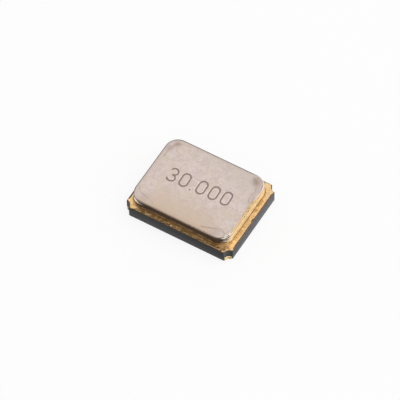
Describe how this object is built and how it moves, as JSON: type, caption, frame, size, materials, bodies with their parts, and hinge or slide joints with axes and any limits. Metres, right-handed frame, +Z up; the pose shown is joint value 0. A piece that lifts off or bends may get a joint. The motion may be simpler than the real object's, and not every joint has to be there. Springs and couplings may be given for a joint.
{
  "type": "surface mount quartz crystal",
  "caption": "Flat ceramic package with corner terminals, a brazed seal ring and a seam-welded metal lid; a thin quartz blank is clamped at one end inside.",
  "frame": {"origin": "middle of the seating plane, under the terminals", "axes": "+X along the long side, towards the blank's free end; +Y across; +Z up through the lid"},
  "size_m": [0.0032, 0.0024, 0.0007],
  "materials": {
    "black_ceramic": "matt, as fired",
    "gold_plate": "gold plating over nickel, satin",
    "braze_gold": "gold-plated braze, slightly uneven",
    "lid_nickel": "satin nickel plating with a warm cast",
    "sintered_tungsten": "dull sintered metal",
    "silver_adhesive": "matt, silver-filled",
    "quartz": "lapped and etched, clear",
    "electrode_gold": "bright vacuum-deposited film"
  },
  "bodies": {
    "root": {"ceramic_base": "black_ceramic", "seal_metallisation": "gold_plate", "braze": "braze_gold", "seal_ring": "gold_plate", "lid": "lid_nickel", "terminal_1": "gold_plate", "terminal_2": "gold_plate", "terminal_3": "gold_plate", "terminal_4": "gold_plate", "signal_lead_1": "sintered_tungsten", "signal_lead_3": "sintered_tungsten", "ground_via_2": "sintered_tungsten", "ground_via_4": "sintered_tungsten", "mounting_pad_1": "gold_plate", "mounting_pad_3": "gold_plate", "pillow": "gold_plate", "adhesive_dot_1": "silver_adhesive", "adhesive_dot_3": "silver_adhesive", "quartz_blank": "quartz", "electrode_lower": "electrode_gold", "electrode_upper": "electrode_gold"}
  },
  "joints": []
}
